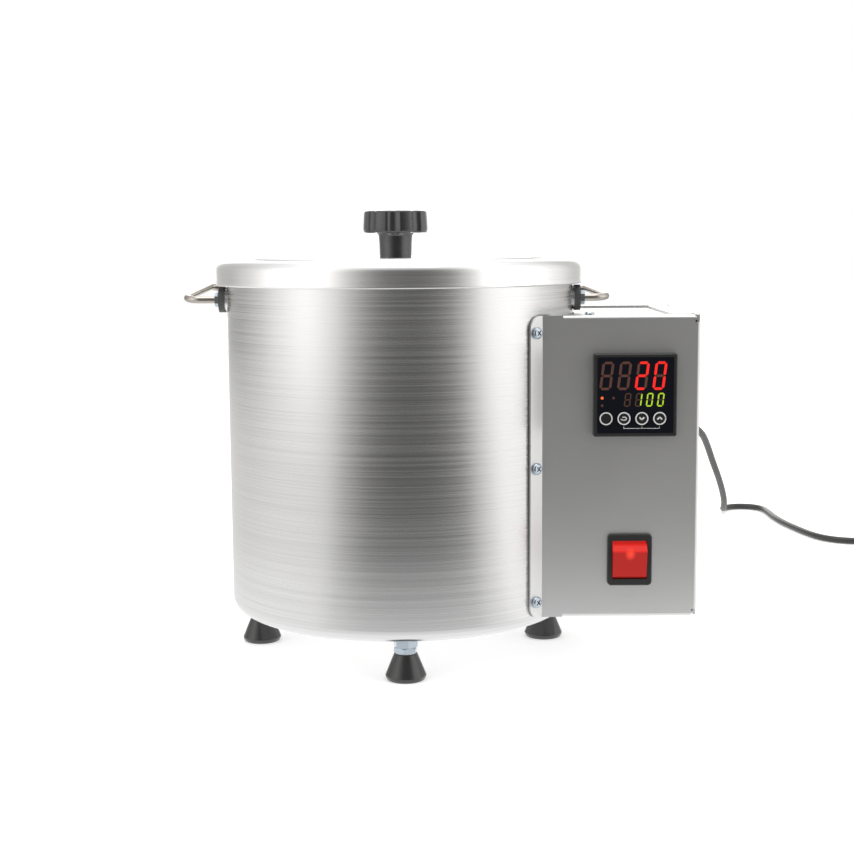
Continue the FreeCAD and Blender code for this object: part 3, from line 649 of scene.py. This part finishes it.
def add_well():
    r, w, low, top, rim = WELL_RADIUS, WELL_WALL, WELL_LOW, SHELL_HIGH, RIM_RADIUS
    outline = [(0, low), (r, low, WELL_CORNER), (r, top), (rim - w, top), (rim - w, top - RIM_DEPTH),
               (rim, top - RIM_DEPTH), (rim, top + w, 2), (r - w, top + w, 2),
               (r - w, low + w, WELL_CORNER - w), (0, low + w)]
    turned("wax_well", outline, "pot", materials["drawn_aluminium"], ["inner_pot"])


def add_lid():
    r, w, edge, top = LID_RADIUS, LID_WALL, LID_EDGE, LID_TOP
    disc, high = DISC_RADIUS, DISC_TOP
    outline = [(0, high), (disc, high, 1), (disc + 1.3, top, 1), (r, top, 6), (r, edge, 1),
               (r - 2.2, edge, 0.8), (r - 2.2, edge + 4), (r - w, edge + 5), (r - w, top - w, 3.8),
               (disc + 0.5, top - w), (disc - 1, high - w), (0, high - w)]
    turned("lid_cover", outline, "lid", materials["lid_aluminium"], ["lid"],
           x=LID_X, segments=256, steps=10)


def lobed_radius(angle):
    """The knob's outline: a circle with round flutes, its ridges softened."""
    total = 0
    spread = (-2.0, -1.0, 0.0, 1.0, 2.0)
    for step in spread:
        pitch = 2 * math.pi / LOBES
        off = (angle + math.radians(step - LOBE_TURN) + pitch / 2) % pitch - pitch / 2
        distance = KNOB_RADIUS + FLUTE_OUT
        inside = FLUTE_RADIUS ** 2 - (distance * math.sin(off)) ** 2
        reach = KNOB_RADIUS
        if inside > 0:
            reach = min(KNOB_RADIUS, distance * math.cos(off) - math.sqrt(inside))
        total += reach
    return total / len(spread)


def add_knob():
    base = DISC_TOP
    # (height, inset from the lobed outline) up the head's side, and (height, share of it) over the crown
    low, high = KNOB_LOW, KNOB_HIGH
    rim = [(low, 1.6), (low + 0.1, 1.1), (low + 0.5, 0.6), (low + 1.2, 0.25), (low + 2.4, 0.0),
           (low + 4, 0.0), (high - 1.3, 0.55), (high - 0.6, 0.70), (high - 0.2, 1.0), (high, 1.5)]
    rings = [lambda a, i=inset: lobed_radius(a) - i for height, inset in rim]
    heights = [height for height, inset in rim]
    for share in (0.8, 0.6, 0.4, 0.2):
        rings.append(lambda a, k=share: (lobed_radius(a) - 1.5) * k)
        heights.append(high + (KNOB_CROWN - high) * (1 - share ** 2.4))
    neck = rounded([(9.9, base), (10.2, base + 9), (10.5, low - 1.6, 1.2), (11.8, low)], closed=False)
    segments = 320
    vertices, faces = [], []
    rows = [(point.y, (lambda a, r=point.x: r)) for point in neck] + list(zip(heights, rings))
    for height, reach in rows:
        for k in range(segments):
            angle = 2 * math.pi * k / segments
            radius = reach(angle)
            vertices.append(at(KNOB_X + radius * math.cos(angle), radius * math.sin(angle), height))
    for i in range(len(rows) - 1):
        row, above = i * segments, (i + 1) * segments
        for k in range(segments):
            n = (k + 1) % segments
            faces.append((row + k, row + n, above + n, above + k))
    faces.append(tuple(reversed(range(segments))))
    last = (len(rows) - 1) * segments
    vertices.append(at(KNOB_X, 0, KNOB_CROWN))
    for k in range(segments):
        faces.append((last + k, last + (k + 1) % segments, len(vertices) - 1))
    piece("star_knob", vertices, faces, "lid", materials["gloss_black"], ["lid_knob"],
          crease=40)


def add_feet():
    outline = [(0, 0), (11.3, 0, 1.2), (12.2, 2.6, 1.5), (6.7, 15.8, 0.8), (4.1, 15.8), (4.1, 4), (0, 4)]
    for k, name in enumerate(("front", "right", "rear", "left")):
        angle = math.radians(-90 + FOOT_TURN + 90 * k)
        x, y = FOOT_CIRCLE * math.cos(angle), FOOT_CIRCLE * math.sin(angle)
        turned("rubber_foot_" + name, outline, "pot", materials["black_rubber"],
               ["foot_" + name], x=x, y=y, segments=96, steps=6)


def add_handles():
    near_end, far_end, near_y, far_y, level = 100.2, 90.6, -13.0, 46.0, 217.3
    pad_face = math.sqrt(SHELL_RADIUS ** 2 - (far_y - PAD_RADIUS) ** 2) + PAD_THICKNESS
    for name, corner, rise in (("left", -133.7, 7.5), ("right", 129.4, 4.6)):
        side = math.copysign(1, corner)
        path = [(side * near_end, near_y, level), (corner, near_y, level),
                (corner - side * 11.3, far_y, level + rise), (side * (pad_face + 5), far_y, level),
                (side * far_end, far_y, level)]
        tube("loop_" + name, round_path(path, HANDLE_BENDS), HANDLE_ROD, "pot",
             materials["stainless_steel"], ["handle_rod_" + name])


# ---------------------------------------------------------------- controller face

# the face's middle (x, z), front (y) and half its size; the keys' centres across from that middle, their
# height and front
FACE_X, FACE_Z, FACE_Y, FACE_HALF = 137.1, 163.3, -76.5, 24.0
KEY_X, KEY_Z, KEY_Y = (-16.9, -6.6, 3.7, 14.0), 149.9, -77.1
KEY_RING, KEY_RING_HOLE = 3.75, 3.08
# rows of digits: the first digit's left and top on the face, the pitch, and a digit's width, height
# and stroke
RED_ROW, GREEN_ROW = (2.7, 4.2, 10.15, 7.4, 17.0, 2.0), (17.0, 22.5, 6.35, 4.0, 8.2, 1.05)
# segments lit in each digit: top, upper left, upper right, middle, lower left, lower right, bottom
LIT = {" ": "0000000", "0": "1110111", "1": "0010010", "2": "1011101"}


def face_point(x, down):
    """A point of the controller's face, in millimetres from its left and top edges."""
    return (FACE_X - FACE_HALF + x, FACE_Z + FACE_HALF - down)


def segment(start, end, width):
    """A segment with pointed ends between two points."""
    start, end = Vector(start), Vector(end)
    along = (end - start).normalized() * width / 2
    across = Vector((-along.y, along.x))
    upper = [start + along + across, end - along + across]
    lower = [end - along - across, start + along - across]
    return [start, *upper, end, *lower]


def digit(x, down, width, height, thick, slant=0.12):
    """The seven outlines of a digit, from its left and top edges on the face."""
    gap = thick * 0.10
    left, right = thick / 2, width - thick / 2
    top, middle, bottom = thick / 2, height / 2, height - thick / 2
    ends = [((left, top), (right, top)), ((left, top), (left, middle)), ((right, top), (right, middle)),
            ((left, middle), (right, middle)), ((left, middle), (left, bottom)),
            ((right, middle), (right, bottom)), ((left, bottom), (right, bottom))]
    outlines = []
    for (ax, ay), (bx, by) in ends:
        flat = segment((ax, ay), (bx, by), thick - 2 * gap)
        shrunk = [p + (((Vector((ax, ay)) + Vector((bx, by))) / 2 - p).normalized() * gap) for p in flat]
        outlines.append([face_point(x + p.x + slant * (height - p.y), down + p.y) for p in shrunk])
    return outlines


def round_dot(x, z, radius, sides=24):
    turns = [2 * math.pi * k / sides for k in range(sides)]
    return [(x + radius * math.cos(turn), z + radius * math.sin(turn)) for turn in turns]


def plates(name, outlines, material, y=FACE_Y, body="pot", lift=0.05):
    return flat_shape(name, outlines, y - lift, lift, body, materials[material])


def sort_digits(text, row, colour, groups):
    """Adds the outlines of a row of digits to the groups of its lit and unlit segments."""
    left, top, pitch, width, height, thick = row
    for k, sign in enumerate(text):
        for lit, outline in zip(LIT[sign], digit(left + pitch * k, top, width, height, thick)):
            groups[("digit_" if lit == "1" else "digit_dim_") + colour].append(outline)


def add_display():
    groups = {"digit_red": [], "digit_dim_red": [], "digit_green": [], "digit_dim_green": []}
    sort_digits("  20", RED_ROW, "red", groups)
    sort_digits(" 100", GREEN_ROW, "green", groups)
    # the unlit point glows faintly: painted light standing in for the room light it gives back
    groups["digit_dim_green"].append(round_dot(*face_point(39.6, 29.9), 0.55, 12))
    for name, outlines in groups.items():
        plates(name + "_segments", outlines, name)
    plates("lamp_lit", [round_dot(*face_point(4.8, 25.5), 0.85)], "dot_orange")
    # the unlit lamps glow faintly too: painted light standing in for the room light they give back
    unlit = [round_dot(*face_point(x, down), 0.75) for x, down in ((11.4, 25.5), (4.8, 29.9))]
    plates("lamps_unlit", unlit, "digit_dim_red")


def stroke(points, width):
    """Outlines of a line drawn through points, one quad for each run."""
    outlines = []
    for a, b in zip(points, points[1:]):
        a, b = Vector(a), Vector(b)
        across = (b - a).normalized() * width / 2
        across = Vector((-across.y, across.x))
        outlines.append([a + across, b + across, b - across, a - across])
    return outlines


def key_ring(x, z):
    """The white ring printed round a key's edge."""
    outer, inner = round_dot(x, z, KEY_RING, 40), round_dot(x, z, KEY_RING_HOLE, 40)
    return [[outer[k - 1], outer[k], inner[k], inner[k - 1]] for k in range(len(outer))]


def key_sign(k, x, z):
    """Plain marks on the keys: none, a loop with an arrowhead, down, up."""
    if k == 1:
        turns = [math.radians(t) for t in range(200, 490, 24)]
        loop = stroke([(x + 1.5 * math.cos(t), z + 0.9 * math.sin(t)) for t in turns], 0.55)
        return loop + [[(x - 2.1, z - 0.2), (x - 0.8, z - 0.2), (x - 1.4, z - 1.1)]]
    if k == 2:
        return stroke([(x - 1.4, z + 0.7), (x, z - 0.7), (x + 1.4, z + 0.7)], 0.85)
    if k == 3:
        return stroke([(x - 1.4, z - 0.6), (x, z + 0.8), (x + 1.4, z - 0.6)], 0.85)
    return []


def add_keys():
    for k, dx in enumerate(KEY_X):
        x, name = FACE_X + dx, "key_%d" % (k + 1)
        outlines = key_ring(x, KEY_Z) + key_sign(k, x, KEY_Z)
        plates(name.replace("key", "key_mark"), outlines, "print_white", KEY_Y, name,
               lift=0.03)
    tips, bar = 42.2, 43.2
    left = [face_point(17.4, tips), face_point(17.4, bar), face_point(27.8, bar), face_point(27.8, tips)]
    right = [face_point(27.8, bar), face_point(38.0, bar), face_point(38.0, tips)]
    plates("key_brackets", stroke(left, 0.28) + stroke(right, 0.28), "print_white")


add_camera()
finish_cad_nodes()
add_cord()
add_shell()
add_well()
add_lid()
add_knob()
add_feet()
add_handles()
add_display()
add_keys()
add_stage()
